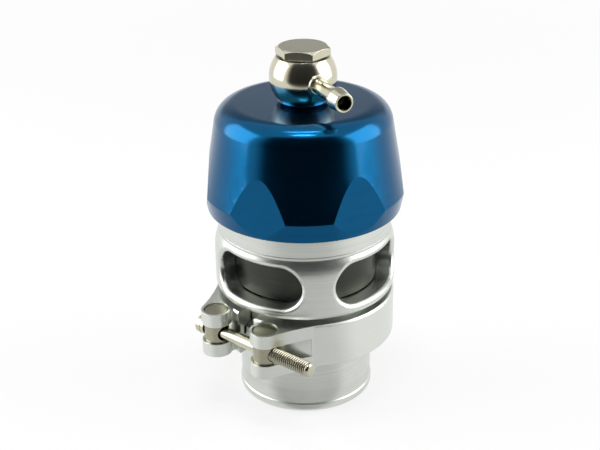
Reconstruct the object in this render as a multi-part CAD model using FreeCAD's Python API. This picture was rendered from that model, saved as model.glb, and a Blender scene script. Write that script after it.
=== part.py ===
import FreeCAD, Part
import math
import os

# Piston-type blow-off valve with a ball banjo on its cap and a hinged V clamp at its inlet.
# The origin is on the valve's axis at the open end of the hose spigot. +Z runs up the axis,
# the clamp screw crosses the -Y side along X, and the clamp hinge is on the +Y side.
# An azimuth is measured about +Z from -Y towards +X.

# Hose adapter
spigot_r = 19.0
spigot_wall = 2.5
bead_step = 0.3
bead_length = 1.4
spigot_lead = 0.9
spigot_length = 18.3

# V flanges gripped by the clamp
flange_reach = 3.8
flange_edge = 1.2
flange_angle = 20.0
flange_gap = 0.05

# V clamp
clamp_height = 13.2
clamp_wall = 2.2
clamp_edge_chamfer = 0.5
clamp_grip = 2.2
groove_clearance = 0.5
flank_clearance = 0.12
split_half_gap = 2.9
hinge_half_gap = 0.8

# Lugs, trunnion barrels and screw
barrel_x = 9.15
barrel_stand_off = 2.1
barrel_r = 3.45
barrel_recess = 0.3
barrel_chamfer = 0.3
barrel_clearance = 0.07
lug_wall = 0.63
lug_fillet_r = 60.0
lug_web_inset = 3.6
slot_height = 5.4
pocket_azimuth = 16.0
pocket_half_angle = 28.0
pocket_depth = 0.9
screw_hole_clearance = 0.55
thread_r = 2.0
thread_root_depth = 0.25
thread_clearance = 0.1
thread_start = 2.5
screw_tip_past_barrel = 16.2
tip_chamfer = 0.5
head_overhang = 0.6
head_height = 1.7
head_edge_chamfer = 0.3
socket_across_flats = 2.5
socket_depth = 1.1
collar_overhang = 0.5
barrel_flat_depth = 0.25
head_stand_off = 0.3

# Clamp hinge
hinge_stand_off = 2.9
hinge_pin_r = 1.5
knuckle_wall = 1.9
knuckle_fillet_r = 5.0
knuckle_height = 6.0
knuckle_side_gap = 0.15
knuckle_relief = 0.35
hinge_pin_clearance = 0.08
hinge_pin_seat_gap = 0.02
hinge_pin_chamfer = 0.3

# Valve body
body_wall = 5.02
body_stand_off = 1.7
body_bottom_inset = 0.6
body_bottom_rise = 2.3
neck_clearance = 0.4
shoulder_above_windows = 2.4
shoulder_rise = 5.3
shoulder_inset = 1.15
line_groove_width = 0.3
line_groove_depth = 0.3
line_groove_spacing = 0.85
neck_show = 6.7
body_top_chamfer = 0.6
seat_rise = 2.1
seat_width = 1.8
seat_height = 0.7

# Vent windows
window_count = 4
window_azimuth = 4.3
window_half_angle = 33.5
window_sill = 0.5
window_height = 12.1
window_edge_r = 1.2

# Piston
piston_skirt = 0.9
piston_clearance = 0.08
piston_bottom_gap = 0.45
piston_length = 21.25
piston_floor = 3.75
piston_wall = 2.6
piston_edge_chamfer = 0.5
piston_lift = 12.2
piston_stop_gap = 0.2
spring_pilot_gap = 0.8
spring_pilot_height = 2.0
seat_seal_overlap = 1.2
seat_seal_thickness = 1.6
seat_seal_gap = 0.05
wear_ring_below_top = 5.4
wear_ring_height = 2.4
wear_ring_depth = 1.2
wear_ring_clearance = 0.05
wear_ring_side_gap = 0.1
piston_oring_below_top = 1.6

# Spring
spring_wire_r = 1.1
spring_cup_gap = 2.1
spring_turns = 6.0
spring_end_gap = 0.05

# Cap
cap_thread_gap = 0.1
cap_thread_length = 9.0
cap_skirt_wall = 2.55
cap_rim_flare = 1.1
cap_rim_rise = 5.4
cap_waist_inset = 2.5
cap_waist_rise = 12.6
cap_top_inset = 4.45
cap_wall_rise = 24.7
cap_top_fillet_r = 6.0
cap_rim_fillet_r = 0.5
cap_edge_fillet_r = 0.4
cap_chamber_gap = 0.5
cap_roof = 6.5
cap_spring_clearance = 2.5
cap_boss_r = 6.3
cap_boss_height = 0.9
cap_boss_fillet_r = 0.8
scallop_count = 6
scallop_azimuth = 13.2
scallop_depth = 1.25
scallop_tilt = 5.0

# O-rings
oring_section_r = 0.72
oring_gap = 0.05
oring_side_gap = 0.2
flange_oring_wall = 1.4
cap_oring_rise = 3.2

# Banjo fitting and its hollow bolt
ball_r = 9.2
ball_half_height = 5.6
seal_thickness = 0.4
seal_wall = 1.6
bolt_r = 4.0
bolt_hole_gap = 0.08
bolt_reach = 17.0
bolt_bore_r = 1.7
bolt_cross_bore_r = 1.3
hex_across_flats = 13.0
hex_height = 2.3
hex_chamfer = 0.6
hex_azimuth = 30.5
gallery_depth = 1.2
gallery_half_height = 1.9
barb_azimuth = 64.6
barb_tip_distance = 25.2
stem_bore_r = 1.2
stem_wall = 0.85
stem_seat_gap = 0.02
stem_collar_wall = 0.25
stem_collar_fillet_r = 0.9
barb_step = 0.95
barb_land = 1.0
barb_cone_length = 3.6
barb_taper = 0.5
barb_mouth_flare = 0.7

# Radii and heights of the spigot, the V joint and the clamp
spigot_bore_r = spigot_r - spigot_wall
clamp_bottom_z = spigot_length
joint_z = clamp_bottom_z + clamp_height / 2
clamp_top_z = joint_z + clamp_height / 2
flange_r = spigot_r + flange_reach
flank_slope = math.tan(math.radians(flange_angle))
clamp_lip_r = flange_r - clamp_grip
groove_r = flange_r + groove_clearance
clamp_outer_r = groove_r + clamp_wall
valve_neck_r = clamp_lip_r - neck_clearance
flange_oring_r = spigot_bore_r + flange_oring_wall + oring_section_r

# Places and radii of the lugs, the screw and the hinge
barrel_y = -(clamp_outer_r + barrel_stand_off)
lug_r = barrel_r + barrel_clearance + lug_wall
shank_r = thread_r - thread_root_depth
head_r = thread_r + head_overhang
collar_r = thread_r + collar_overhang
barrel_flat = barrel_r - barrel_flat_depth
hinge_y = clamp_outer_r + hinge_stand_off
knuckle_r = hinge_pin_r + knuckle_wall

# Radii and heights of the body, its windows and the piston
seat_r = spigot_bore_r + seat_width
seat_seal_inner_r = spigot_bore_r - seat_seal_overlap
seat_seal_outer_r = seat_r + seat_seal_overlap
piston_r = seat_seal_outer_r + piston_skirt
cylinder_bore_r = piston_r + piston_clearance
body_r = cylinder_bore_r + body_wall
body_bottom_z = clamp_top_z + body_stand_off
seat_top_z = body_bottom_z + seat_rise
window_bottom_z = seat_top_z + window_sill
window_top_z = window_bottom_z + window_height
shoulder_top_z = window_top_z + shoulder_above_windows
shoulder_z = shoulder_top_z - shoulder_rise
neck_ring_r = body_r - shoulder_inset
cap_bottom_z = shoulder_top_z + neck_show
body_top_z = cap_bottom_z + cap_thread_length
piston_bottom_z = seat_top_z + piston_bottom_gap
piston_top_z = piston_bottom_z + piston_length
cup_floor_z = piston_bottom_z + piston_floor
cup_r = piston_r - piston_wall
wear_ring_z = piston_top_z - wear_ring_below_top
piston_oring_z = piston_top_z - piston_oring_below_top
spring_mean_r = cup_r - spring_cup_gap - spring_wire_r
spring_pilot_r = spring_mean_r - spring_wire_r - spring_pilot_gap

# Radii and heights of the cap
cap_bore_r = neck_ring_r + cap_thread_gap
cap_bottom_r = cap_bore_r + cap_skirt_wall
cap_rim_r = cap_bottom_r + cap_rim_flare
cap_rim_z = cap_bottom_z + cap_rim_rise
cap_waist_r = cap_rim_r - cap_waist_inset
cap_waist_z = cap_rim_z + cap_waist_rise
cap_top_r = cap_rim_r - cap_top_inset
cap_top_z = cap_rim_z + cap_wall_rise
scallop_distance = cap_rim_r - scallop_depth
cap_oring_z = cap_bottom_z + cap_oring_rise
cap_chamber_r = cylinder_bore_r + cap_chamber_gap
cap_stop_z = piston_top_z + piston_lift + piston_stop_gap
cap_roof_z = cap_top_z - cap_roof
spring_room_r = spring_mean_r + spring_wire_r + cap_spring_clearance

# Radii and heights of the banjo
boss_top_z = cap_top_z + cap_boss_height
ball_bottom_z = boss_top_z + seal_thickness
ball_z = ball_bottom_z + ball_half_height
ball_top_z = ball_z + ball_half_height
hex_bottom_z = ball_top_z + seal_thickness
banjo_bore_r = bolt_r + bolt_hole_gap
gallery_r = banjo_bore_r + gallery_depth
stem_r = stem_bore_r + stem_wall
barb_r = stem_r + barb_step
barb_tip_r = barb_r - barb_taper
barb_mouth_r = stem_bore_r + barb_mouth_flare

# Closeness at which two points of an edge count as the same
near = 0.001

AXIS = FreeCAD.Vector(0, 0, 1)
ORIGIN = FreeCAD.Vector(0, 0, 0)


def polar(radius, azimuth, z=0.0):
    """Point at a radius and azimuth, with azimuth 0 on -Y and 90 on +X."""
    angle = math.radians(azimuth)
    return FreeCAD.Vector(radius * math.sin(angle), -radius * math.cos(angle), z)


def cylinder(radius, bottom, top, x=0.0, y=0.0):
    return Part.makeCylinder(radius, top - bottom, FreeCAD.Vector(x, y, bottom))


def ring(inner_r, outer_r, bottom, top):
    return cylinder(outer_r, bottom, top).cut(cylinder(inner_r, bottom, top))


def block(x_range, y_range, z_range):
    """Box between two values along each axis, given in either order."""
    low = [min(pair) for pair in (x_range, y_range, z_range)]
    size = [abs(pair[1] - pair[0]) for pair in (x_range, y_range, z_range)]
    return Part.makeBox(*size, FreeCAD.Vector(*low))


def section(start, *steps):
    """Closed face in the XZ plane. A step is a point, or a (middle, end) pair for an arc."""
    edges = []
    first = FreeCAD.Vector(start[0], 0, start[1])
    here = first
    for step in steps:
        if isinstance(step[0], tuple):
            middle = FreeCAD.Vector(step[0][0], 0, step[0][1])
            end = FreeCAD.Vector(step[1][0], 0, step[1][1])
            edges.append(Part.Arc(here, middle, end).toShape())
        else:
            end = FreeCAD.Vector(step[0], 0, step[1])
            edges.append(Part.makeLine(here, end))
        here = end
    edges.append(Part.makeLine(here, first))
    return Part.Face(Part.Wire(edges))


def turned(start, *steps):
    """Solid of revolution about Z from a section given as (radius, height) points."""
    return section(start, *steps).revolve(ORIGIN, AXIS, 360)


def arc_middle(centre, radius, angle):
    """Point of an arc in a section: the centre moved by the radius at an angle from +radius."""
    turn = math.radians(angle)
    return (centre[0] + radius * math.cos(turn), centre[1] + radius * math.sin(turn))


def edges_where(shape, test):
    """Edges of a shape whose points all pass a test."""
    chosen = []
    for edge in shape.Edges:
        if all(test(point) for point in edge.discretize(5)):
            chosen.append(edge)
    return chosen


def circle_at(radius, z):
    """Test for points on a circle about the valve's axis."""

    def test(point):
        return abs(math.hypot(point.x, point.y) - radius) < near and abs(point.z - z) < near

    return test


def flange_flank_z(radius):
    """Height of a V flange's sloping back above the joint plane at a radius."""
    return flange_edge + (flange_r - radius) * flank_slope


def hose_adapter():
    """Hose spigot with a beaded end, rising into the lower V flange."""
    top = joint_z - flange_gap
    bead_r = spigot_r + bead_step
    bead_top = spigot_lead + bead_length
    body = turned(
        (spigot_bore_r, 0),
        (bead_r - spigot_lead, 0),
        (arc_middle((bead_r - spigot_lead, spigot_lead), spigot_lead, -45), (bead_r, spigot_lead)),
        (bead_r, bead_top),
        (spigot_r, bead_top + bead_step),
        (spigot_r, joint_z - flange_flank_z(spigot_r)),
        (flange_r, joint_z - flange_edge),
        (flange_r, top),
        (spigot_bore_r, top),
    )
    return body.cut(oring_groove())


def oring_groove():
    """Face groove in the lower flange that takes the flange O-ring."""
    half_width = oring_section_r + oring_side_gap / 2
    floor = joint_z - flange_gap - 2 * (oring_section_r + oring_gap)
    return ring(flange_oring_r - half_width, flange_oring_r + half_width, floor, joint_z)


def flange_oring():
    centre_z = joint_z - flange_gap - oring_gap - oring_section_r
    return Part.makeTorus(flange_oring_r, oring_section_r, FreeCAD.Vector(0, 0, centre_z))


def clamp_ring():
    """Whole V ring before it is split: lips above and below a groove for the two flanges."""
    half = clamp_height / 2
    lip_half = flange_flank_z(clamp_lip_r) + flank_clearance
    floor_half = flange_flank_z(groove_r) + flank_clearance
    outer = clamp_outer_r - clamp_edge_chamfer
    profile = [
        (clamp_lip_r, joint_z - half),
        (outer, joint_z - half),
        (clamp_outer_r, joint_z - half + clamp_edge_chamfer),
        (clamp_outer_r, joint_z + half - clamp_edge_chamfer),
        (outer, joint_z + half),
        (clamp_lip_r, joint_z + half),
        (clamp_lip_r, joint_z + lip_half),
        (groove_r, joint_z + floor_half),
        (groove_r, joint_z - floor_half),
        (clamp_lip_r, joint_z - lip_half),
    ]
    return turned(*profile)


def fillet_web(centre, eye_r, fillet_r, side, bottom, top):
    """Concave web on one side of an eye that blends the eye into the clamp ring."""
    band = clamp_outer_r - clamp_edge_chamfer
    to_axis = fillet_r + band
    to_eye = fillet_r + eye_r
    reach = centre.Length
    spread = math.acos((to_axis ** 2 + reach ** 2 - to_eye ** 2) / (2 * to_axis * reach))
    eye_angle = math.atan2(centre.y, centre.x)
    turn = spread if side * centre.y < 0 else -spread
    fillet_x = to_axis * math.cos(eye_angle + turn)
    fillet_y = to_axis * math.sin(eye_angle + turn)
    corners = [ORIGIN, FreeCAD.Vector(fillet_x, fillet_y, 0), centre, ORIGIN]
    plan = Part.Face(Part.makePolygon(corners))
    plan.translate(FreeCAD.Vector(0, 0, bottom))
    web = plan.extrude(FreeCAD.Vector(0, 0, top - bottom))
    web = web.cut(cylinder(fillet_r, bottom, top, fillet_x, fillet_y))
    return web.cut(cylinder(groove_r + groove_clearance, bottom, top))


def lug(side):
    """Screw lug of one clamp half: a round eye, its inner wall and its blended outer web."""
    centre = FreeCAD.Vector(side * barrel_x, barrel_y, 0)
    eye = cylinder(lug_r, clamp_bottom_z, clamp_top_z, centre.x, centre.y)
    inner_x = side * (barrel_x - lug_web_inset)
    wall_y = (barrel_y, -groove_r)
    wall = block((inner_x, centre.x), wall_y, (clamp_bottom_z, clamp_top_z))
    wall = wall.cut(cylinder(groove_r + groove_clearance, clamp_bottom_z, clamp_top_z))
    web = fillet_web(centre, lug_r, lug_fillet_r, side, clamp_bottom_z, clamp_top_z)
    return eye.fuse([wall, web])


def screw_slot(side):
    """Slot through a lug for the screw, with a flat arc floor that runs out of the ring wall."""
    far = clamp_outer_r + 2 * lug_r
    start = side * (pocket_azimuth - pocket_half_angle)
    end = side * (pocket_azimuth + pocket_half_angle)
    bottom = joint_z - slot_height / 2
    floor = Part.Arc(
        polar(clamp_outer_r, start, bottom),
        polar(clamp_outer_r - pocket_depth, side * pocket_azimuth, bottom),
        polar(clamp_outer_r, end, bottom),
    ).toShape()
    outside = Part.makePolygon([
        polar(clamp_outer_r, end, bottom),
        polar(far, end, bottom),
        polar(far, side * pocket_azimuth, bottom),
        polar(far, start, bottom),
        polar(clamp_outer_r, start, bottom),
    ])
    plan = Part.Face(Part.Wire([floor] + outside.Edges))
    return plan.extrude(FreeCAD.Vector(0, 0, slot_height))


def half_space(side):
    """Everything on one side of the clamp's split, set back by the gap at each end."""
    far = 2 * clamp_outer_r
    heights = (clamp_bottom_z, clamp_top_z)
    front = block((side * split_half_gap, side * far), (-far, 0), heights)
    rear = block((side * hinge_half_gap, side * far), (0, far), heights)
    return front.fuse(rear)


def knuckle(side, bottom, top):
    """Hinge knuckle of one clamp half between two heights."""
    centre = FreeCAD.Vector(0, hinge_y, 0)
    eye = cylinder(knuckle_r, bottom, top, 0, hinge_y)
    web = fillet_web(centre, knuckle_r, knuckle_fillet_r, side, bottom, top)
    return eye.fuse(web)


def clamp_half(side, knuckle_spans, relief_spans, pin_hole_r):
    """One clamp half: ring half, lug, hinge knuckles, barrel hole, slot and hinge hole."""
    half = clamp_ring().common(half_space(side))
    for bottom, top in relief_spans:
        half = half.cut(cylinder(knuckle_r + knuckle_relief, bottom, top, 0, hinge_y))
    half = half.fuse([lug(side)] + [knuckle(side, *span) for span in knuckle_spans])
    half = half.cut(screw_slot(side))
    hole_r = barrel_r + barrel_clearance
    half = half.cut(cylinder(hole_r, clamp_bottom_z, clamp_top_z, side * barrel_x, barrel_y))
    half = half.cut(cylinder(pin_hole_r, clamp_bottom_z, clamp_top_z, 0, hinge_y))
    return half.removeSplitter()


def knuckle_heights():
    """Spans of the lower, middle and upper hinge knuckles."""
    middle = (joint_z - knuckle_height / 2, joint_z + knuckle_height / 2)
    lower = (clamp_bottom_z, middle[0] - knuckle_side_gap)
    upper = (middle[1] + knuckle_side_gap, clamp_top_z)
    return lower, middle, upper


def clamp_half_fixed():
    """Left clamp half, which keeps the outer two knuckles and the hinge pin."""
    lower, middle, upper = knuckle_heights()
    clear = (lower[1], upper[0])
    return clamp_half(-1, [lower, upper], [clear], hinge_pin_r + hinge_pin_seat_gap)


def clamp_half_swinging():
    """Right clamp half, which swings about the hinge pin on its middle knuckle."""
    lower, middle, upper = knuckle_heights()
    clear = [(clamp_bottom_z, middle[0]), (middle[1], clamp_top_z)]
    return clamp_half(1, [middle], clear, hinge_pin_r + hinge_pin_clearance)


def chamfered_pin(radius, bottom, top, chamfer, x, y):
    pin = turned(
        (0, bottom),
        (radius - chamfer, bottom),
        (radius, bottom + chamfer),
        (radius, top - chamfer),
        (radius - chamfer, top),
        (0, top),
    )
    pin.translate(FreeCAD.Vector(x, y, 0))
    return pin


def hinge_pin():
    return chamfered_pin(
        hinge_pin_r, clamp_bottom_z, clamp_top_z, hinge_pin_chamfer, 0, hinge_y
    )


def barrel(side, hole_r):
    """Trunnion barrel that stands upright in a lug's eye, cross-drilled for the screw."""
    bottom = clamp_bottom_z + barrel_recess
    top = clamp_top_z - barrel_recess
    body = chamfered_pin(barrel_r, bottom, top, barrel_chamfer, side * barrel_x, barrel_y)
    return body.cut(along_screw(hole_r, -barrel_r, barrel_r, side * barrel_x))


def along_screw(radius, start, end, offset=0.0):
    """Cylinder on the screw's axis between two distances from a place on that axis."""
    base = FreeCAD.Vector(offset + start, barrel_y, joint_z)
    return Part.makeCylinder(radius, end - start, base, FreeCAD.Vector(1, 0, 0))


def plain_barrel():
    """Left barrel with a clearance hole and a flat where the screw's collar bears."""
    body = barrel(-1, shank_r + screw_hole_clearance)
    return body.cut(along_screw(collar_r + head_stand_off, -barrel_r, -barrel_flat, -barrel_x))


def nut_barrel():
    """Right barrel, tapped for the screw."""
    return barrel(1, thread_r + thread_clearance)


def clamp_screw():
    """Cap screw with a bearing collar, a plain shank and a threaded end."""
    head_base = -barrel_x - lug_r - head_stand_off
    head_end = head_base - head_height
    thread_x = barrel_x - thread_start
    tip_x = barrel_x + screw_tip_past_barrel
    outline = section(
        (head_end, 0),
        (head_end, head_r - head_edge_chamfer),
        (head_end + head_edge_chamfer, head_r),
        (head_base, head_r),
        (head_base, collar_r),
        (-barrel_x - barrel_flat, collar_r),
        (-barrel_x - barrel_flat, shank_r),
        (thread_x - (thread_r - shank_r), shank_r),
        (thread_x, thread_r),
        (tip_x - tip_chamfer, thread_r),
        (tip_x, thread_r - tip_chamfer),
        (tip_x, 0),
    )
    screw = outline.revolve(ORIGIN, FreeCAD.Vector(1, 0, 0), 360)
    socket = hexagon(socket_across_flats, socket_depth)
    socket.rotate(ORIGIN, FreeCAD.Vector(0, 1, 0), 90)
    socket.translate(FreeCAD.Vector(head_end, 0, 0))
    screw = screw.cut(socket)
    screw.translate(FreeCAD.Vector(0, barrel_y, joint_z))
    return screw


def hexagon(across_flats, height):
    """Upright hexagonal prism from z = 0 with a flat facing -Y."""
    radius = across_flats / math.sqrt(3)
    corners = [polar(radius, 30 + 60 * k) for k in range(6)]
    outline = Part.makePolygon(corners + corners[:1])
    return Part.Face(outline).extrude(FreeCAD.Vector(0, 0, height))


def body_outside():
    """Turned outside of the valve body: flange, neck, lower curve, shoulder and neck ring."""
    low_r = body_r - body_bottom_inset
    low_top = body_bottom_z + body_bottom_rise
    low_radius = (body_bottom_inset ** 2 + body_bottom_rise ** 2) / (2 * body_bottom_inset)
    low_half = math.degrees(math.asin(body_bottom_rise / low_radius)) / 2
    arc_r = (shoulder_inset ** 2 + shoulder_rise ** 2) / (2 * shoulder_inset)
    arc_half = math.degrees(math.asin(shoulder_rise / arc_r)) / 2
    outside = turned(
        (0, joint_z),
        (flange_r, joint_z),
        (flange_r, joint_z + flange_edge),
        (valve_neck_r, joint_z + flange_flank_z(valve_neck_r)),
        (valve_neck_r, body_bottom_z),
        (low_r, body_bottom_z),
        (arc_middle((body_r - low_radius, low_top), low_radius, -low_half), (body_r, low_top)),
        (body_r, shoulder_z),
        (arc_middle((body_r - arc_r, shoulder_z), arc_r, arc_half), (neck_ring_r, shoulder_top_z)),
        (neck_ring_r, body_top_z - body_top_chamfer),
        (neck_ring_r - body_top_chamfer, body_top_z),
        (0, body_top_z),
    )
    for k in range(2):
        outside = outside.cut(line_groove(shoulder_top_z + k * line_groove_spacing))
    return outside


def line_groove(z):
    """Fine turned line round the neck ring, V-shaped in section."""
    outer = neck_ring_r + line_groove_width
    return turned(
        (outer, z),
        (neck_ring_r - line_groove_depth, z + line_groove_width / 2),
        (outer, z + line_groove_width),
    )


def window_cutter(azimuth):
    """Round-ended window through the wall, milled by a cutter that stays radial."""
    end_r = window_height / 2
    middle_z = window_bottom_z + end_r
    sweep = window_half_angle - math.degrees(math.asin(end_r / body_r))
    reach = body_r + window_height
    sector = section(
        (0, window_bottom_z),
        (reach, window_bottom_z),
        (reach, window_top_z),
        (0, window_top_z),
    ).revolve(ORIGIN, AXIS, 2 * sweep)
    sector.rotate(ORIGIN, AXIS, azimuth - sweep - 90)
    cutter = sector
    for end in (azimuth - sweep, azimuth + sweep):
        base = FreeCAD.Vector(0, 0, middle_z)
        cutter = cutter.fuse(Part.makeCylinder(end_r, reach, base, polar(1, end)))
    return cutter.removeSplitter()


def on_window_rim(point):
    """Test for points on the outer rim of a vent window."""
    pitch = 360 / window_count
    turn = math.degrees(math.atan2(point.x, -point.y)) - 90
    outside = math.hypot(point.x, point.y) > neck_ring_r - near
    beside_middle = abs(turn % pitch - pitch / 2) < window_half_angle + pitch * near
    return outside and beside_middle and window_bottom_z - near < point.z < window_top_z + near


def valve_body():
    """Valve body: flange and neck, seat, cylinder bore, windows and the neck for the cap."""
    floor = seat_top_z - seat_height
    body = body_outside()
    body = body.cut(cylinder(spigot_bore_r, joint_z, seat_top_z))
    body = body.cut(cylinder(cylinder_bore_r, seat_top_z, body_top_z))
    body = body.cut(ring(seat_r, cylinder_bore_r, floor, seat_top_z))
    for k in range(window_count):
        body = body.cut(window_cutter(90 + 360 / window_count * (k + 0.5)))
    body = body.makeFillet(window_edge_r, edges_where(body, on_window_rim))
    body.rotate(ORIGIN, AXIS, window_azimuth - 90 - 180 / window_count)
    return body.cut(outer_oring_groove(cap_bore_r, cap_oring_z))


def outer_oring_groove(bore_r, z):
    """Groove in the outside of a plug that takes an O-ring sealing on a bore."""
    half_width = oring_section_r + oring_side_gap / 2
    floor = bore_r - 2 * (oring_section_r + oring_gap)
    return ring(floor, 2 * bore_r, z - half_width, z + half_width)


def outer_oring(bore_r, z):
    centre_r = bore_r - oring_gap - oring_section_r
    return Part.makeTorus(centre_r, oring_section_r, FreeCAD.Vector(0, 0, z))


def cap_oring():
    return outer_oring(cap_bore_r, cap_oring_z)


def piston_oring():
    return outer_oring(cylinder_bore_r, piston_oring_z)


def piston():
    """Cup piston: solid crown, thin skirt, spring pilot, seal recess and wear ring groove."""
    chamfer = piston_edge_chamfer
    pilot_top = cup_floor_z + spring_pilot_height
    recess_top = seat_top_z + seat_seal_gap + seat_seal_thickness
    body = turned(
        (0, piston_bottom_z),
        (piston_r - chamfer, piston_bottom_z),
        (piston_r, piston_bottom_z + chamfer),
        (piston_r, piston_top_z - chamfer),
        (piston_r - chamfer, piston_top_z),
        (cup_r, piston_top_z),
        (cup_r, cup_floor_z),
        (spring_pilot_r, cup_floor_z),
        (spring_pilot_r, pilot_top - chamfer),
        (spring_pilot_r - chamfer, pilot_top),
        (0, pilot_top),
    )
    body = body.cut(ring(seat_seal_inner_r, seat_seal_outer_r, piston_bottom_z, recess_top))
    groove_r = piston_r - wear_ring_depth
    groove_top = wear_ring_z + wear_ring_height
    body = body.cut(ring(groove_r, 2 * piston_r, wear_ring_z, groove_top))
    return body.cut(outer_oring_groove(cylinder_bore_r, piston_oring_z))


def seat_seal():
    """Flat seal ring in the piston's crown that closes on the seat."""
    bottom = seat_top_z + seat_seal_gap
    return ring(seat_seal_inner_r, seat_seal_outer_r, bottom, bottom + seat_seal_thickness)


def wear_ring():
    """Bearing band in the piston's groove that guides it in the bore."""
    bottom = wear_ring_z + wear_ring_side_gap
    top = wear_ring_z + wear_ring_height - wear_ring_side_gap
    inner = piston_r - wear_ring_depth + wear_ring_side_gap
    return ring(inner, cylinder_bore_r - wear_ring_clearance, bottom, top)


def valve_spring():
    """Compression spring between the piston's floor and the cap's roof, with ground ends."""
    bottom = cup_floor_z + spring_end_gap
    top = cap_roof_z - spring_end_gap
    pitch = (top - bottom) / spring_turns
    start = bottom - pitch / 2
    length = top - bottom + pitch
    helix = Part.makeHelix(pitch, length, spring_mean_r)
    circle = Part.makeCircle(
        spring_wire_r, FreeCAD.Vector(spring_mean_r, 0, 0), FreeCAD.Vector(0, 1, 0)
    )
    wire = Part.Wire(helix).makePipeShell([Part.Wire(circle)], True, True)
    wire.translate(FreeCAD.Vector(0, 0, start))
    reach = spring_mean_r + 2 * spring_wire_r
    return wire.common(cylinder(reach, bottom, top))


def top_cap():
    """Cap: flared wall, rounded top, six milled scallops, banjo boss and stepped inside."""
    outside = turned(
        (0, cap_bottom_z),
        (cap_bottom_r, cap_bottom_z),
        (cap_rim_r, cap_rim_z),
        ((cap_waist_r, cap_waist_z), (cap_top_r, cap_top_z)),
        (0, cap_top_z),
    )
    outside = outside.makeFillet(
        cap_top_fillet_r, edges_where(outside, circle_at(cap_top_r, cap_top_z))
    )
    outside = outside.makeFillet(
        cap_edge_fillet_r, edges_where(outside, circle_at(cap_bottom_r, cap_bottom_z))
    )
    outside = outside.makeFillet(
        cap_rim_fillet_r, edges_where(outside, circle_at(cap_rim_r, cap_rim_z))
    )
    for k in range(scallop_count):
        outside = outside.cut(scallop(scallop_azimuth + 360 / scallop_count * k))
    cap = outside.fuse(banjo_boss()).removeSplitter()
    cap = cap.cut(cylinder(cap_bore_r, cap_bottom_z, body_top_z))
    cap = cap.cut(cylinder(cap_chamber_r, body_top_z, cap_stop_z))
    cap = cap.cut(cylinder(spring_room_r, cap_stop_z, cap_roof_z))
    return cap.cut(cylinder(banjo_bore_r, cap_roof_z, boss_top_z))


def scallop(azimuth):
    """Flat milled on the cap's wall, leaning in towards the top."""
    width = 2 * cap_rim_r
    depth = cap_rim_r
    cutter = Part.makeBox(width, depth, width, FreeCAD.Vector(-width / 2, -depth, -width / 2))
    cutter.rotate(ORIGIN, FreeCAD.Vector(1, 0, 0), -scallop_tilt)
    cutter.translate(FreeCAD.Vector(0, -scallop_distance, cap_rim_z))
    cutter.rotate(ORIGIN, AXIS, azimuth)
    return cutter


def banjo_boss():
    """Raised ring on top of the cap with a hollow fillet at its foot."""
    foot = cap_top_z + cap_boss_fillet_r
    centre = (cap_boss_r + cap_boss_fillet_r, foot)
    return turned(
        (0, cap_top_z - cap_boss_height),
        (centre[0], cap_top_z - cap_boss_height),
        (centre[0], cap_top_z),
        (arc_middle(centre, cap_boss_fillet_r, 225), (cap_boss_r, foot)),
        (cap_boss_r, boss_top_z),
        (0, boss_top_z),
    )


def seal_washer(bottom):
    """Thin sealing washer round the banjo bolt."""
    return ring(banjo_bore_r, banjo_bore_r + seal_wall, bottom, bottom + seal_thickness)


def lower_seal_washer():
    return seal_washer(boss_top_z)


def upper_seal_washer():
    return seal_washer(ball_top_z)


def banjo_ball():
    """Ball of the banjo: flat faces, inner gallery and the collar that holds the stem."""
    ball = Part.makeSphere(ball_r, FreeCAD.Vector(0, 0, ball_z))
    ball = ball.common(cylinder(2 * ball_r, ball_bottom_z, ball_top_z))
    ball = ball.fuse(stem_collar())
    ball = ball.cut(cylinder(banjo_bore_r, ball_bottom_z, ball_top_z))
    gallery_top = ball_z + gallery_half_height
    ball = ball.cut(cylinder(gallery_r, ball_z - gallery_half_height, gallery_top))
    hole = section(
        (banjo_bore_r, 0),
        (banjo_bore_r, stem_r + stem_seat_gap),
        (barb_tip_distance, stem_r + stem_seat_gap),
        (barb_tip_distance, 0),
    )
    return ball.cut(along_barb(hole)).removeSplitter()


def along_barb(outline):
    """Solid turned about the barb's axis from a section of (distance, radius) points."""
    shape = outline.revolve(ORIGIN, FreeCAD.Vector(1, 0, 0), 360)
    shape.rotate(ORIGIN, AXIS, barb_azimuth - 90)
    shape.translate(FreeCAD.Vector(0, 0, ball_z))
    return shape


def stem_collar():
    """Collar that flares from the ball round the root of the stem."""
    collar_outer_r = stem_r + stem_collar_wall
    foot_r = collar_outer_r + stem_collar_fillet_r
    root = math.sqrt(ball_r ** 2 - foot_r ** 2)
    centre = (root + stem_collar_fillet_r, foot_r)
    return along_barb(section(
        (gallery_r, 0),
        (gallery_r, foot_r),
        (root, foot_r),
        (arc_middle(centre, stem_collar_fillet_r, 225), (centre[0], collar_outer_r)),
        (centre[0] + stem_collar_wall, collar_outer_r),
        (centre[0] + stem_collar_wall, 0),
    ))


def barb_stem():
    """Hollow stem let into the ball, with one barb and an opened mouth at its tip."""
    land_end = barb_tip_distance - barb_cone_length
    land_start = land_end - barb_land
    mouth = barb_tip_distance - (barb_mouth_r - stem_bore_r)
    return along_barb(section(
        (gallery_r, stem_bore_r),
        (gallery_r, stem_r),
        (land_start, stem_r),
        (land_start, barb_r),
        (land_end, barb_r),
        (barb_tip_distance, barb_tip_r),
        (barb_tip_distance, barb_mouth_r),
        (mouth, stem_bore_r),
    ))


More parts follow.
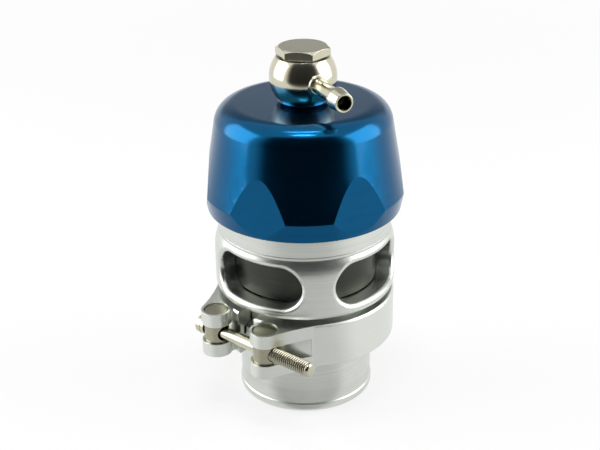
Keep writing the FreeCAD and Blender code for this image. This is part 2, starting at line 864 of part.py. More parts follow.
def banjo_bolt():
    """Hollow hex bolt that holds the ball down and feeds the cap's chamber."""
    bolt_bottom = hex_bottom_z - bolt_reach
    top = hex_bottom_z + hex_height
    head = hexagon(hex_across_flats, hex_height)
    head.rotate(ORIGIN, AXIS, hex_azimuth)
    head.translate(FreeCAD.Vector(0, 0, hex_bottom_z))
    corner_r = hex_across_flats / math.sqrt(3)
    chamfer_r = hex_across_flats / 2
    head = head.common(turned(
        (0, hex_bottom_z),
        (corner_r, hex_bottom_z),
        (corner_r, top - hex_chamfer),
        (chamfer_r, top),
        (0, top),
    ))
    bolt = head.fuse(cylinder(bolt_r, bolt_bottom, hex_bottom_z))
    bolt = bolt.cut(cylinder(bolt_bore_r, bolt_bottom, ball_z + bolt_cross_bore_r))
    for direction in (FreeCAD.Vector(1, 0, 0), FreeCAD.Vector(0, 1, 0)):
        start = FreeCAD.Vector(0, 0, ball_z) - direction * bolt_r
        bolt = bolt.cut(Part.makeCylinder(bolt_cross_bore_r, 2 * bolt_r, start, direction))
    return bolt.removeSplitter()


NODES = {
    "hose_adapter": hose_adapter,
    "flange_oring": flange_oring,
    "clamp_half_fixed": clamp_half_fixed,
    "clamp_half_swinging": clamp_half_swinging,
    "hinge_pin": hinge_pin,
    "plain_barrel": plain_barrel,
    "nut_barrel": nut_barrel,
    "clamp_screw": clamp_screw,
    "valve_body": valve_body,
    "piston": piston,
    "seat_seal": seat_seal,
    "wear_ring": wear_ring,
    "piston_oring": piston_oring,
    "valve_spring": valve_spring,
    "cap_oring": cap_oring,
    "top_cap": top_cap,
    "lower_seal_washer": lower_seal_washer,
    "banjo_ball": banjo_ball,
    "barb_stem": barb_stem,
    "upper_seal_washer": upper_seal_washer,
    "banjo_bolt": banjo_bolt,
}


def main():
    os.makedirs("parts", exist_ok=True)
    for name, make in NODES.items():
        shape = make()
        shape.exportStep("parts/" + name + ".step")
        print(name, "solids", len(shape.Solids), "valid", shape.isValid(), round(shape.Volume, 1))


main()
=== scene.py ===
import math
import bmesh
import bpy
import numpy as np
from mathutils import Matrix, Vector


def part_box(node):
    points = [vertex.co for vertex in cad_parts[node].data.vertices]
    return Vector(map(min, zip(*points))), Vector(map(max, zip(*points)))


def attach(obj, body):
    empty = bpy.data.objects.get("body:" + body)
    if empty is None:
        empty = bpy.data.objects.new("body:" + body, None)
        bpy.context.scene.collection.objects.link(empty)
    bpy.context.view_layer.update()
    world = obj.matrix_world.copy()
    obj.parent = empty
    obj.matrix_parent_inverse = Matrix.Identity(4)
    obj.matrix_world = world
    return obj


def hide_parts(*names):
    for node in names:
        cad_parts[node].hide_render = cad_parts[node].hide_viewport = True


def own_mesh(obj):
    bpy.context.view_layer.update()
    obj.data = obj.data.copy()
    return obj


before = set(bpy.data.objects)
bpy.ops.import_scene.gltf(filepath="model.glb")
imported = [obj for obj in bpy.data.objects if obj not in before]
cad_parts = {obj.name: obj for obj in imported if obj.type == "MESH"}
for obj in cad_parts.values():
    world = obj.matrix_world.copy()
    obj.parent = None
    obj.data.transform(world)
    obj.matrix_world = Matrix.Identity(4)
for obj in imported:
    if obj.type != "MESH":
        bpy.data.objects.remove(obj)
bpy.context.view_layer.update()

MM = 0.001

# The photograph's camera. Azimuths are in degrees, 0 towards the clamp screw (-Y) and 90 towards
# +X, and the distance and height are in millimetres.
CAMERA_AZIMUTH = 40.5
CAMERA_DISTANCE = 307.98
CAMERA_HEIGHT = 192.57
CAMERA_PAN = 0.24
CAMERA_DIP = 24.85
CAMERA_ROLL = -0.68
FOCAL_PIXELS = 1198.8
IMAGE_WIDTH = 600
SENSOR_WIDTH = 36.0
CAMERA_REACH = (0.01, 20.0)

# Places that pieces and finishes share, in millimetres
JOINT_Z = 24.9
BARREL_X = 9.15
BARREL_Y = -27.6
HINGE_Y = 28.4
BALL_Z = 94.0
BARB_AZIMUTH = 64.6
SCREW_MIDDLE = (0, BARREL_Y, JOINT_Z)
BALL_MIDDLE = (0, 0, BALL_Z)
ACROSS = (1, 0, 0)
UP = (0, 0, 1)

# Surfaces: points closer than this in millimetres are merged, and an arc of a profile has so many
# rows and takes at most this share of the shorter run beside it
MERGE_DISTANCE = 0.002
ARC_ROWS = 6
ARC_SHARE = 0.48
LONGEST_LEAD = 0.08

# Clamp screw: distances along X from the middle between the lugs, and radii, in millimetres
SOCKET_FLOOR = -14.2
SOCKET_RIM = -15.15
SOCKET_R = 1.25
SOCKET_CORNER = 0.08
HEAD_END = -15.3
HEAD_RIM_R = 1.6
HEAD_STEP = -13.6
HEAD_R = 2.6
COLLAR_END = -12.35
COLLAR_R = 2.5
SHANK_R = 1.75
RUN_IN = 6.4
THREAD_START = 6.7
THREAD_END = 24.7
FADE_END = 25.0
FADE_LENGTH = 0.9
THREAD_PITCH = 0.7
THREAD_CREST = 2.0
THREAD_ROOT = 1.6
THREAD_FLANK = 0.8
THREAD_ROWS = 9
SCREW_COLUMNS = 72
# Radius below which the thread's root turns darker, and how fast the tone changes
ROOT_DARK_TOP = 1.94
ROOT_DARK_GROWTH = 3.2
TIP_BEVEL = 24.85
TIP_END = 25.35
TIP_R = 1.45

# Barbed stem: distances from the ball's middle, and radii, in millimetres
STEM_START = 5.28
STEM_R = 2.05
STEM_BORE_R = 1.7
BARB_START = 20.6
BARB_LAND_END = 21.6
BARB_R = 3.0
MOUTH_START = 21.0
MOUTH_R = 1.98
BARB_TIP = 25.2
BARB_TIP_R = 2.5
STEM_COLUMNS = 64

# Valve spring, in millimetres, and the piston's travel that shortens it
SPRING_WIRE_R = 1.1
SPRING_MEAN_R = 14.6
SPRING_TURNS = 7.5
SPRING_GROUND = 0.45
SPRING_ROWS = 64
SPRING_COLUMNS = 14

# Lamps by azimuth from the camera's, distance, height, width and length in metres, and watts
LAMPS = {
    "left_box": (-92, 0.6, 0.24, (0.52, 0.6), 3.0),
    "right_box": (86, 0.6, 0.24, (0.52, 0.6), 3.0),
    "over_strip": (0, 0.02, 0.7, (0.24, 0.03), 0.45),
    "front_strip": (0, 0.22, 0.72, (0.2, 0.03), 0.6),
}
LAMP_AIM = Vector((0, 0, 0.05))

# Upright cards by azimuth from the camera's, distance, heights of both edges, width and grey level
CARDS = {
    "front_card": (0, 0.42, (0.0, 0.8), 1.5, 0.004),
    "back_card": (180, 1.3, (0.35, 1.6), 2.6, 0.62),
}
CARD_EDGE_FADE = 2.4

# Painted shade on the floor before the object, a sheet seen only in reflections: its ends and
# where it darkens, in metres, its grey levels near and far, and how wide it stays beside its
# length before it thins out
SHADE_NEAR = 0.02
SHADE_FAR = 0.42
SHADE_SPREAD = 1.7
SHADE_LIFT = 0.0003
SHADE_DARKENS_AT = 0.205
SHADE_DARKENING = 13.0
SHADE_LEVEL = 0.7
SHADE_DARK = 0.02
SHADE_WIDTH = 1.05
SHADE_FAR_WIDTH = 0.5
SHADE_EDGE_FADE = 1.8

# Floor in metres, the share of its even white near the object, and the world's share of light
FLOOR_HALF = 1.5
FLOOR_DROP = 0.0002
FLOOR_WHITENS_AT = 0.22
FLOOR_WHITENING = 2.5
FLOOR_NEAR_WHITE = 0.72
WORLD_LIGHT = 0.5

# Finishes: radius in millimetres by which sharp edges are broken, scale of the clouds on metal,
# roughness of every noise, and shares of fine marks, broad marks and clouds in a turned tone
EDGE_BREAK = 0.18
THREAD_EDGE_BREAK = 0.01
METAL_CLOUDS = 130.0
NOISE_ROUGHNESS = 0.6
TONE_SHARES = (0.55, 0.3, 0.15)


def direction(azimuth):
    """Level unit vector at an azimuth."""
    turn = math.radians(azimuth)
    return Vector((math.sin(turn), -math.cos(turn), 0))


def srgb(*screen):
    """Linear colour with alpha from screen values of 0 to 255, by the sRGB curve."""
    share = np.array(screen) / 255
    curve = np.where(share > 0.04045, ((share + 0.055) / 1.055) ** 2.4, share / 12.92)
    return (*curve.tolist(), 1.0)


def grey(level):
    """Neutral linear colour with alpha."""
    return (level, level, level, 1.0)


def linked(name, data):
    """Object of a mesh, lamp or camera, linked into the scene."""
    holder = bpy.data.objects.new(name, data)
    bpy.context.scene.collection.objects.link(holder)
    return holder


# Materials


class Wire:
    """A shader socket used in sums: every operator adds the Math node that does it."""

    def __init__(self, graph, socket):
        self.graph = graph
        self.socket = socket

    def maths(self, operation, *values):
        settings = {"operation": operation}
        return self.graph.node("ShaderNodeMath", settings, dict(enumerate(values)))

    def __add__(self, other):
        return self.maths("ADD", self, other)

    def __radd__(self, other):
        return self.maths("ADD", other, self)

    def __sub__(self, other):
        return self.maths("SUBTRACT", self, other)

    def __rsub__(self, other):
        return self.maths("SUBTRACT", other, self)

    def __mul__(self, other):
        return self.maths("MULTIPLY", self, other)

    def __rmul__(self, other):
        return self.maths("MULTIPLY", other, self)

    def __truediv__(self, other):
        return self.maths("DIVIDE", self, other)

    def __rtruediv__(self, other):
        return self.maths("DIVIDE", other, self)

    def root(self):
        return self.maths("SQRT", self)

    def clamped(self, low=0.0, high=1.0):
        return self.maths("MINIMUM", self.maths("MAXIMUM", self, low), high)


class Graph:
    """A node tree under construction."""

    def __init__(self, tree):
        self.tree = tree

    def node(self, kind, settings=None, inputs=None, output=0):
        """Adds a node: its settings first, then the values or wires of its inputs."""
        node = self.tree.nodes.new(kind)
        for key, value in (settings or {}).items():
            setattr(node, key, value)
        for key, value in (inputs or {}).items():
            if isinstance(value, Wire):
                self.tree.links.new(value.socket, node.inputs[key])
            else:
                node.inputs[key].default_value = value
        return Wire(self, node.outputs[output])

    def seen(self):
        """1 where the camera, metal or glass looks at the surface, 0 where it only gives light."""
        rays = self.node("ShaderNodeLightPath").socket.node.outputs
        names = ("Is Camera Ray", "Is Glossy Ray", "Is Transmission Ray")
        camera, glossy, through = (Wire(self, rays[name]) for name in names)
        return (camera + glossy + through).clamped()


class Finish(Graph):
    """A material under construction, with its shader's own sockets set by name."""

    def __init__(self, name, **sockets):
        self.material = bpy.data.materials.new(name)
        self.material.use_nodes = True
        super().__init__(self.material.node_tree)
        self.shader = self.tree.nodes["Principled BSDF"]
        for key, value in sockets.items():
            self.shader.inputs[key.replace("_", " ")].default_value = value

    def feed(self, **wires):
        """Links wires into the shader's sockets."""
        for key, wire in wires.items():
            self.tree.links.new(wire.socket, self.shader.inputs[key.replace("_", " ")])

    def place(self, centre=(0, 0, 0), turn=(0, 0, 0)):
        """Point of the surface from a centre in millimetres, turned so that Z is the axis."""
        point = self.node("ShaderNodeTexCoord", output=3)
        kind, settings = "ShaderNodeMapping", {"vector_type": "POINT"}
        offset = tuple(-c * MM for c in centre)
        moved = self.node(kind, settings, {"Vector": point, "Location": offset})
        return self.node(kind, settings, {"Vector": moved, "Rotation": turn})

    def split(self, vector):
        """The three coordinates of a vector."""
        node = self.node("ShaderNodeSeparateXYZ", inputs={0: vector}).socket.node
        return tuple(Wire(self, socket) for socket in node.outputs)

    def noise(self, vector, scale, detail, **fourth):
        """Noise of 0 to 1 in three dimensions, or in four where W is given."""
        settings = {"noise_dimensions": "4D" if fourth else "3D"}
        inputs = {"Vector": vector, "Scale": scale, "Detail": detail}
        inputs["Roughness"] = NOISE_ROUGHNESS
        return self.node("ShaderNodeTexNoise", settings, inputs | fourth)

    def grain(self, scale):
        """Even grain in all directions."""
        return self.noise(self.place(), scale, 3.0)

    def lathe(self, pitch, centre=(0, 0, 0), turn=(0, 0, 0), streak=0.35, detail=3.0):
        """Turning marks: noise that varies along the radius and the axis, and slowly round it."""
        x, y, z = self.split(self.place(centre, turn))
        radius = (x * x + y * y).root()
        fine = 1 / (pitch * MM)
        inputs = {0: radius * fine, 1: z * fine, 2: x / radius * streak}
        along = self.node("ShaderNodeCombineXYZ", inputs=inputs)
        return self.noise(along, 1.0, detail, W=y / radius * streak)

    def mixed(self, factor, first, second):
        """Blend of two colours."""
        settings = {"data_type": "RGBA", "blend_type": "MIX"}
        return self.node("ShaderNodeMix", settings, {0: factor, 6: first, 7: second}, output=2)

    def bump(self, height, depth, edge=EDGE_BREAK):
        """Level of the surface over broken edges, its depth and their radius in millimetres."""
        broken = self.node("ShaderNodeBevel", {"samples": 6}, {"Radius": edge * MM})
        inputs = {"Height": height, "Distance": depth * MM, "Strength": 1.0, "Normal": broken}
        return self.node("ShaderNodeBump", inputs=inputs)

    def show(self, factor, first, second):
        """Lets the surface show a mix of two shaders, the first at 0 and the second at 1."""
        both = self.node("ShaderNodeMixShader", inputs={0: factor, 1: first, 2: second})
        self.tree.links.new(both.socket, self.tree.nodes["Material Output"].inputs["Surface"])
        return self.material

    def own(self):
        """The finish's own shader."""
        return Wire(self, self.shader.outputs[0])

    def fading(self, fade):
        """Lets the surface thin out to nothing where the fade is 0."""
        return self.show(fade, self.node("ShaderNodeBsdfTransparent"), self.own())


def turned_metal(name, bright, dark, rough, spread, pitch, depth, *axis):
    """Metal off the lathe: fine marks round the axis vary its tone, its gloss and its level."""
    finish = Finish(name, Metallic=1.0)
    fine = finish.lathe(pitch, *axis)
    broad = finish.lathe(pitch * 9, *axis, streak=0.8, detail=1.0)
    cloud = finish.grain(METAL_CLOUDS)
    marks = fine * TONE_SHARES[0] + broad * TONE_SHARES[1]
    tone = (marks + cloud * TONE_SHARES[2]).clamped()
    gloss = rough + (0.5 - fine) * spread + (cloud - 0.5) * (spread * 0.6)
    finish.feed(
        Base_Color=finish.mixed(tone, dark, bright),
        Roughness=gloss.clamped(0.02, 1.0),
        Normal=finish.bump(fine, depth),
    )
    return finish.material


def threaded_nickel(name, bright, dark, root_tone):
    """Nickel of the screw: turning marks, and a darker, rougher tone in the root of the thread."""
    finish = Finish(name, Metallic=1.0)
    x, y, z = finish.split(finish.place(SCREW_MIDDLE))
    radius = (y * y + z * z).root() * (1 / MM)
    along = x * (1 / MM)
    fine = finish.lathe(0.2, SCREW_MIDDLE, LYING)
    cloud = finish.grain(METAL_CLOUDS)
    threaded = (along - THREAD_START).clamped() * (THREAD_END - along).clamped()
    # darker and rougher tone below the given radius over the thread, that is in its root
    root_dark = ((ROOT_DARK_TOP - radius) * ROOT_DARK_GROWTH).clamped() * threaded
    clean = finish.mixed((fine * 0.7 + cloud * 0.3).clamped(), dark, bright)
    gloss = 0.18 + (0.5 - fine) * 0.1 + root_dark * 0.3
    finish.feed(
        Base_Color=finish.mixed(root_dark, clean, root_tone),
        Roughness=gloss.clamped(0.02, 1.0),
        Normal=finish.bump(fine, 0.001, edge=THREAD_EDGE_BREAK),
    )
    return finish.material


def anodised_blue(name, bright, dark):
    """Dyed anodised aluminium: deep blue metal under a clear skin, with faint turning marks."""
    finish = Finish(name, Metallic=1.0, Coat_Weight=0.1, Coat_Roughness=0.05, Coat_IOR=1.6)
    fine = finish.lathe(0.16)
    broad = finish.lathe(1.6, streak=0.6, detail=1.0)
    cloud = finish.grain(90.0)
    tone = (fine * 0.35 + broad * 0.35 + cloud * 0.3).clamped()
    gloss = 0.2 + (0.5 - fine) * 0.1 + (cloud - 0.5) * 0.06
    finish.feed(
        Base_Color=finish.mixed(tone, dark, bright),
        Roughness=gloss.clamped(0.05, 1.0),
        Normal=finish.bump(fine, 0.0035),
    )
    return finish.material


def matt_plastic(name, bright, dark, speck_scale, cloud_scale, speck_share, rough, spread, depth):
    """Rubber or filled plastic: clouds vary its tone and gloss, specks its tone and level."""
    finish = Finish(name, Metallic=0.0)
    speck = finish.grain(speck_scale)
    cloud = finish.grain(cloud_scale)
    tone = (speck * speck_share + cloud * (1 - speck_share)).clamped()
    finish.feed(
        Base_Color=finish.mixed(tone, dark, bright),
        Roughness=(rough + cloud * spread).clamped(),
        Normal=finish.bump(speck, depth),
    )
    return finish.material


# Bright and dark tone of each metal, and the turn that lays a lathe's axis along X
SILVER = (srgb(233, 236, 230), srgb(182, 186, 179))
MILLED_SILVER = (srgb(227, 230, 224), srgb(206, 210, 203))
HARD_GREY = (srgb(76, 79, 72), srgb(48, 51, 45))
BLUE = (srgb(5, 90, 134), srgb(2, 70, 110))
NICKEL = (srgb(210, 206, 185), srgb(178, 174, 153))
POLISHED_NICKEL = (srgb(219, 215, 196), srgb(188, 184, 162))
BARREL_NICKEL = (srgb(182, 179, 158), srgb(142, 139, 120))
# darker tone in the root of the screw's thread
THREAD_ROOT_TONE = srgb(80, 75, 64)
STEEL = (srgb(176, 176, 174), srgb(120, 119, 116))
WASHER = (srgb(120, 116, 108), srgb(86, 83, 78))
RUBBER = (srgb(38, 38, 39), srgb(20, 20, 21))
BRONZE_PLASTIC = (srgb(128, 98, 70), srgb(82, 60, 44))
LYING = (0, math.radians(-90), 0)

# Turned metals by tones, roughness and its spread, pitch and depth of the marks in millimetres,
# and the centre and turn of the axis where it isn't the valve's own
TURNED = {
    "turned_aluminium": (*SILVER, 0.33, 0.26, 0.3, 0.012),
    "milled_aluminium": (*MILLED_SILVER, 0.31, 0.14, 0.34, 0.004),
    "hard_anodised": (*HARD_GREY, 0.36, 0.2, 0.3, 0.006),
    "nickel_left": (*BARREL_NICKEL, 0.24, 0.16, 0.2, 0.004, (-BARREL_X, BARREL_Y, 0)),
    "nickel_right": (*BARREL_NICKEL, 0.24, 0.16, 0.2, 0.004, (BARREL_X, BARREL_Y, 0)),
    "nickel_pin": (*NICKEL, 0.22, 0.14, 0.2, 0.004, (0, HINGE_Y, 0)),
    "polished_nickel": (*POLISHED_NICKEL, 0.15, 0.1, 0.3, 0.0015),
    "polished_stem": (*POLISHED_NICKEL, 0.12, 0.08, 0.25, 0.002, BALL_MIDDLE, LYING),
    "spring_steel": (*STEEL, 0.3, 0.2, 0.8, 0.004),
    "bonded_seal": (*WASHER, 0.4, 0.2, 0.25, 0.004),
}

FINISHES = {name: turned_metal(name, *numbers) for name, numbers in TURNED.items()}
FINISHES |= {
    "nickel_screw": threaded_nickel("nickel_screw", *NICKEL, THREAD_ROOT_TONE),
    "blue_anodised": anodised_blue("blue_anodised", *BLUE),
    "seal_rubber": matt_plastic(
        "seal_rubber", *RUBBER, speck_scale=2600.0, cloud_scale=420.0, speck_share=0.0,
        rough=0.52, spread=0.16, depth=0.004,
    ),
    "bearing_plastic": matt_plastic(
        "bearing_plastic", *BRONZE_PLASTIC, speck_scale=1500.0, cloud_scale=200.0,
        speck_share=0.7, rough=0.42, spread=0.12, depth=0.003,
    ),
}

NODE_FINISH = {
    "hose_adapter": "turned_aluminium",
    "valve_body": "turned_aluminium",
    "clamp_half_fixed": "milled_aluminium",
    "clamp_half_swinging": "milled_aluminium",
    "top_cap": "blue_anodised",
    "piston": "hard_anodised",
    "plain_barrel": "nickel_left",
    "nut_barrel": "nickel_right",
    "hinge_pin": "nickel_pin",
    "clamp_screw": "nickel_screw",
    "banjo_ball": "polished_nickel",
    "banjo_bolt": "polished_nickel",
    "barb_stem": "polished_stem",
    "valve_spring": "spring_steel",
    "flange_oring": "seal_rubber",
    "piston_oring": "seal_rubber",
    "cap_oring": "seal_rubber",
    "seat_seal": "seal_rubber",
    "wear_ring": "bearing_plastic",
    "lower_seal_washer": "bonded_seal",
    "upper_seal_washer": "bonded_seal",
}

for node_name, finish_name in NODE_FINISH.items():
    node_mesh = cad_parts[node_name].data
    node_mesh.materials.clear()
    node_mesh.materials.append(FINISHES[finish_name])


# Shapes, worked out in millimetres


def unit(vector):
    """The vector at length 1."""
    return vector / np.linalg.norm(vector)


def rounded(corners):
    """Profile of (along, radius) rows: straight runs joined at each corner by an arc on both.

    A corner is (along, radius, fillet). The arc's centre lies on the line that halves the corner,
    and a row close to each end of the arc keeps the runs flat.
    """
    points = np.array([c[:2] for c in corners], float)
    rows = [points[:1]]
    for k in range(1, len(corners) - 1):
        corner, fillet = points[k], corners[k][2]
        to_last, to_next = points[k - 1] - corner, points[k + 1] - corner
        shorter_run = min(np.linalg.norm(to_last), np.linalg.norm(to_next))
        back, ahead = unit(to_last), unit(to_next)
        half = math.acos(float(np.clip(back @ ahead, -1, 1))) / 2
        reach = min(fillet / math.tan(half), ARC_SHARE * shorter_run)
        radius = reach * math.tan(half)
        middle, side = unit(back + ahead), unit(ahead - back)
        centre = corner + middle * radius / math.sin(half)
        sweep = np.linspace(-1, 1, ARC_ROWS)[:, None] * (math.pi / 2 - half)
        arc = centre + radius * (side * np.sin(sweep) - middle * np.cos(sweep))
        lead = min(LONGEST_LEAD, 0.2 * reach + 0.02)
        rows += [arc[:1] + back * lead, arc, arc[-1:] + ahead * lead]
    rows.append(points[-1:])
    return np.concatenate(rows)


def even_angles(count):
    """Equal steps of one turn, without its end."""
    return np.arange(count) * (2 * math.pi / count)


def ring_piece(name, points, loop=False):
    """Closed smooth piece through rows of points, each row a ring that is joined to the next.

    The end rows are poles. With loop the last row is joined to the first instead. Points that
    meet are merged, and the faces are turned outwards.
    """
    rows, columns = points.shape[:2]
    here = np.arange(rows if loop else rows - 1)[:, None] * columns
    ahead = (here + columns) % (rows * columns)
    one = np.arange(columns)
    two = (one + 1) % columns
    faces = np.stack([here + one, here + two, ahead + two, ahead + one], axis=-1)
    mesh = bpy.data.meshes.new(name)
    mesh.from_pydata((points.reshape(-1, 3) * MM).tolist(), [], faces.reshape(-1, 4).tolist())
    work = bmesh.new()
    work.from_mesh(mesh)
    bmesh.ops.remove_doubles(work, verts=work.verts, dist=MERGE_DISTANCE * MM)
    bmesh.ops.recalc_face_normals(work, faces=work.faces)
    work.to_mesh(mesh)
    work.free()
    mesh.shade_smooth()
    return linked(name, mesh)


def round_points(along, radius, centre, axis, first):
    """Rings about an axis: ring k stands at along[k], with the radii radius[k] at equal angles.

    A point is centre + along * axis + radius * (cos(angle) * first + sin(angle) * third), where
    third is at right angles to axis and first.
    """
    axis, first = np.array(axis, float), np.array(first, float)
    angle = even_angles(radius.shape[1])[:, None]
    ring = np.cos(angle) * first + np.sin(angle) * np.cross(axis, first)
    return np.array(centre, float) + along[:, None, None] * axis + radius[:, :, None] * ring


def hexagon_radius(angle, across, corner):
    """Radius of a hexagon with softly rounded corners, a side's middle lying at angle 0.

    The radius is the smallest distance to the sides' lines along the angle, the meeting of two
    lines being eased over the given corner length.
    """
    pitch = math.pi / 3
    turn = (angle + pitch / 2) % pitch - pitch / 2
    near = across / 2 / np.cos(turn)
    other = across / 2 / np.cos(pitch - np.abs(turn))
    blend = np.clip(0.5 + (other - near) / (2 * corner), 0, 1)
    return near - corner * blend * (1 - blend)


def screw_piece():
    """Clamp screw: low head with a hexagon socket, plain shank, rolled thread and bevelled tip.

    The profile is turned about X. In the socket its radius is multiplied by the hexagon's. Over
    the thread the radius falls from the crest by the depth times a power of half of 1 less the
    cosine of the distance along the screw less the turn round it, both counted in pitches.
    """
    angle = even_angles(SCREW_COLUMNS)
    head_and_shank = rounded([
        (SOCKET_FLOOR, 0.0, 0), (SOCKET_FLOOR, SOCKET_R, 0.05), (SOCKET_RIM, SOCKET_R, 0.12),
        (HEAD_END, HEAD_RIM_R, 0.2), (HEAD_END, HEAD_R, 0.4),
        (HEAD_STEP, HEAD_R, 0.12), (HEAD_STEP, COLLAR_R, 0.02),
        (COLLAR_END, COLLAR_R, 0.1), (COLLAR_END, SHANK_R, 0.1),
        (RUN_IN, SHANK_R, 0.3), (RUN_IN + 0.5, THREAD_CREST, 0.3), (RUN_IN + 0.6, THREAD_CREST, 0),
    ])
    thread = np.arange(RUN_IN + 0.7, THREAD_END, THREAD_PITCH / THREAD_ROWS)
    tip = rounded([
        (TIP_BEVEL - 0.1, THREAD_CREST, 0), (TIP_BEVEL, THREAD_CREST, 0.15),
        (TIP_END, TIP_R, 0.15), (TIP_END, 0.0, 0),
    ])
    along = np.concatenate([head_and_shank[:, 0], thread, tip[:, 0]])
    profile = np.concatenate([head_and_shank[:, 1], np.full(len(thread), THREAD_CREST), tip[:, 1]])
    radius = np.repeat(profile[:, None], SCREW_COLUMNS, axis=1)
    in_socket = (along < SOCKET_FLOOR + 0.3) & (profile <= SOCKET_R + 0.0001)
    radius[in_socket] *= hexagon_radius(angle, 2 * SOCKET_R, SOCKET_CORNER) / SOCKET_R
    turns = along[:, None] / THREAD_PITCH - angle / (2 * math.pi)
    wave = (0.5 - 0.5 * np.cos(2 * math.pi * turns)) ** THREAD_FLANK
    begins = np.clip((along - THREAD_START) / FADE_LENGTH, 0, 1)
    fade = begins * np.clip(FADE_END - along, 0, 1)
    radius = radius - (THREAD_CREST - THREAD_ROOT) * wave * fade[:, None]
    points = round_points(along, radius, SCREW_MIDDLE, ACROSS, UP)
    return ring_piece("clamp_screw_threaded", points)


def stem_piece():
    """Barbed stem: plain tube, barb with a land and a long cone, and a mouth drilled near its rim.

    The profile is turned about the stem's axis, from the banjo's gallery out to the tip and back
    inside.
    """
    outline = rounded([
        (STEM_START, STEM_BORE_R, 0), (STEM_START, STEM_R, 0.1),
        (BARB_START, STEM_R, 0.12), (BARB_START, BARB_R, 0.12), (BARB_LAND_END, BARB_R, 0.3),
        (BARB_TIP, BARB_TIP_R, 0.16), (BARB_TIP, MOUTH_R, 0.08),
        (MOUTH_START, MOUTH_R, 0.2), (BARB_START, STEM_BORE_R, 0.1),
        (STEM_START + 0.3, STEM_BORE_R, 0),
    ])
    radius = np.repeat(outline[:, 1:], STEM_COLUMNS, axis=1)
    axis = direction(BARB_AZIMUTH)
    points = round_points(outline[:, 0], radius, BALL_MIDDLE, axis, UP)
    return ring_piece("barb_stem_drilled", points, loop=True)


def spring_piece(low, high):
    """Compression spring between two heights, with a closed turn at each end and ground seats.

    The wire's middle turns round the axis at the mean radius. Its height rises by one wire
    diameter in the first and the last turn and evenly in between. A point is the middle + wire
    radius * (cos(a) * outward + sin(a) * across), where across is at right angles to the wire and
    to outward. Heights are held between the two seats, which grinds the ends flat. One more row
    at each end has no radius and is a pole.
    """
    turn = np.linspace(0, SPRING_TURNS, int(SPRING_TURNS * SPRING_ROWS) + 1)
    first, last = low + SPRING_GROUND * SPRING_WIRE_R, high - SPRING_GROUND * SPRING_WIRE_R
    heights = [first, first + 2 * SPRING_WIRE_R, last - 2 * SPRING_WIRE_R, last]
    height = np.interp(turn, [0, 1, SPRING_TURNS - 1, SPRING_TURNS], heights)
    angle = turn * 2 * math.pi
    outward = np.stack([np.cos(angle), np.sin(angle), np.zeros_like(angle)], axis=-1)
    middle = outward * SPRING_MEAN_R + height[:, None] * np.array(UP)
    tangent = np.gradient(middle, axis=0)
    tangent /= np.linalg.norm(tangent, axis=1)[:, None]
    across = np.cross(tangent, outward)
    size = np.pad(np.full(len(turn), SPRING_WIRE_R), 1)[:, None, None]
    middle, outward, across = (
        np.concatenate([rows[:1], rows, rows[-1:]])[:, None] for rows in (middle, outward, across)
    )
    a = even_angles(SPRING_COLUMNS)[None, :, None]
    points = middle + size * (np.cos(a) * outward + np.sin(a) * across)
    points[:, :, 2] = np.clip(points[:, :, 2], low, high)
    return ring_piece("valve_spring_ground", points)


def add_piece(piece, body, finish, node):
    """Gives a piece its finish, lets it ride on a body and stand for a CAD node."""
    piece.data.materials.append(FINISHES[finish])
    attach(piece, body)
    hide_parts(node)


add_piece(screw_piece(), "screw_set", "nickel_screw", "clamp_screw")
add_piece(stem_piece(), "banjo", "polished_stem", "barb_stem")

spring_low, spring_high = (corner[2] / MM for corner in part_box("valve_spring"))
spring = spring_piece(spring_low, spring_high)
add_piece(spring, "valve", "spring_steel", "valve_spring")
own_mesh(spring)


# Camera, light and floor, in metres


def set_camera():
    """Camera of the photograph, with its lens from the picture's focal length in pixels."""
    camera = bpy.data.cameras.new("camera")
    camera.sensor_width = SENSOR_WIDTH
    camera.lens = SENSOR_WIDTH * FOCAL_PIXELS / IMAGE_WIDTH
    camera.clip_start, camera.clip_end = CAMERA_REACH
    holder = linked("camera", camera)
    place = direction(CAMERA_AZIMUTH) * CAMERA_DISTANCE * MM
    place.z = CAMERA_HEIGHT * MM
    pan = Matrix.Rotation(math.radians(CAMERA_AZIMUTH + CAMERA_PAN), 4, "Z")
    dip = Matrix.Rotation(math.radians(90 - CAMERA_DIP), 4, "X")
    roll = Matrix.Rotation(math.radians(CAMERA_ROLL), 4, "Z")
    holder.matrix_world = Matrix.Translation(place) @ pan @ dip @ roll
    bpy.context.scene.camera = holder


def softbox(name, azimuth, distance, height, size, power):
    """Rectangular soft lamp that looks at the object."""
    lamp = bpy.data.lights.new(name, "AREA")
    lamp.shape = "RECTANGLE"
    lamp.size, lamp.size_y = size
    lamp.energy = power
    place = direction(CAMERA_AZIMUTH + azimuth) * distance
    place.z = height
    look = (LAMP_AIM - place).to_track_quat("-Z", "Y").to_matrix().to_4x4()
    linked(name, lamp).matrix_world = Matrix.Translation(place) @ look


def stage_sheet(name, corners, material):
    """Flat sheet of four corners that isn't part of the object."""
    mesh = bpy.data.meshes.new(name)
    mesh.from_pydata(corners, [], [(0, 1, 2, 3)])
    mesh.materials.append(material)
    holder = linked(name, mesh)
    return holder


def mirrored_only(holder):
    """Lets a sheet show in reflections alone."""
    holder.visible_camera = False
    holder.visible_shadow = False
    holder.visible_diffuse = False


def facing_place(finish):
    """Distances to the right of the camera's line and away from it, over the floor."""
    turn = (0, 0, math.radians(-CAMERA_AZIMUTH))
    return finish.split(finish.place(turn=turn))[:2]


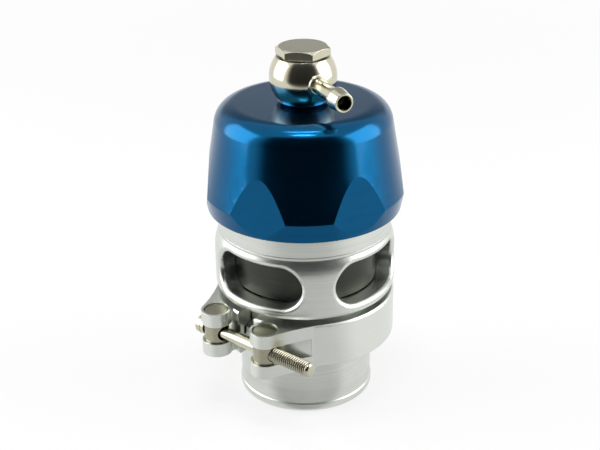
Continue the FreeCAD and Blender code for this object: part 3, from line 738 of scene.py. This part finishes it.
def card(name, azimuth, distance, heights, width, level):
    """Upright card facing the object, whose left and right edges fade out."""
    finish = Finish(name, Roughness=0.9)
    tone = finish.mixed(finish.grain(8.0), grey(level), grey(level * 1.2))
    finish.feed(Base_Color=tone)
    x = facing_place(finish)[0]
    beside = (x * x).root() * (2 / width)
    ahead = direction(CAMERA_AZIMUTH + azimuth)
    side = Vector((-ahead.y, ahead.x, 0)) * (width / 2)
    low, high = (ahead * distance + Vector((0, 0, height)) for height in heights)
    corners = [low - side, low + side, high + side, high - side]
    fade = ((1.0 - beside) * CARD_EDGE_FADE).clamped()
    mirrored_only(stage_sheet(name, corners, finish.fading(fade)))


def floor_shade_sheet(name):
    """Painted shade on the floor, seen only in reflections: grey near the object, dark farther
    out, thinning out sideways.
    """
    finish = Finish(name, Roughness=0.9)
    x, y = facing_place(finish)
    ahead = 0.0 - y
    far = ((ahead - SHADE_DARKENS_AT) * SHADE_DARKENING).clamped()
    distant = far * 0.9 + finish.grain(8.0) * 0.1
    # painted shade: the grey near the object stands in for its shadow on the floor as seen in
    # reflections; farther out the sheet is dark
    finish.feed(Base_Color=finish.mixed(distant, grey(SHADE_LEVEL), grey(SHADE_DARK)))
    sideways = (x * x).root() / (ahead + 0.01)
    width = SHADE_WIDTH + far * SHADE_FAR_WIDTH
    fade = ((width - sideways) * SHADE_EDGE_FADE).clamped()
    line = direction(CAMERA_AZIMUTH)
    side = Vector((-line.y, line.x, 0)) * (SHADE_FAR * SHADE_SPREAD)
    near, out = (line * reach + Vector((0, 0, SHADE_LIFT)) for reach in (SHADE_NEAR, SHADE_FAR))
    corners = [near + side, out + side, out - side, near - side]
    mirrored_only(stage_sheet(name, corners, finish.fading(fade)))


def floor_sheet(name):
    """Near-white floor that keeps the object's shadow near it and is even white farther out."""
    finish = Finish(name, Roughness=0.9, Specular_IOR_Level=0.0)
    finish.feed(Base_Color=finish.mixed(finish.grain(3.0), grey(0.93), grey(0.96)))
    x, y = finish.split(finish.place())[:2]
    far = (((x * x + y * y).root() - FLOOR_WHITENS_AT) * FLOOR_WHITENING).clamped()
    share = FLOOR_NEAR_WHITE + far * (1 - FLOOR_NEAR_WHITE)
    white = finish.node("ShaderNodeEmission", inputs={0: grey(1.0), 1: 1.0})
    material = finish.show(finish.seen() * share, finish.own(), white)
    sides = np.array([(-1, -1), (1, -1), (1, 1), (-1, 1)]) * FLOOR_HALF
    stage_sheet(name, [(x, y, -FLOOR_DROP) for x, y in sides.tolist()], material)


def set_world():
    """Even world: a plain light, and white where the camera, metal or glass looks at it."""
    world = bpy.data.worlds.new("studio")
    world.use_nodes = True
    graph = Graph(world.node_tree)
    background = world.node_tree.nodes["Background"]
    background.inputs["Color"].default_value = grey(1.0)
    strength = WORLD_LIGHT + graph.seen() * (1 - WORLD_LIGHT)
    world.node_tree.links.new(strength.socket, background.inputs["Strength"])
    bpy.context.scene.world = world


set_camera()
floor_sheet("floor")
for card_name, numbers in CARDS.items():
    card(card_name, *numbers)
# painted shade on the floor before the object, seen only in reflections
floor_shade_sheet("near_shade")
for lamp_name, numbers in LAMPS.items():
    softbox(lamp_name, *numbers)
set_world()
bpy.context.scene.view_settings.view_transform = "Standard"
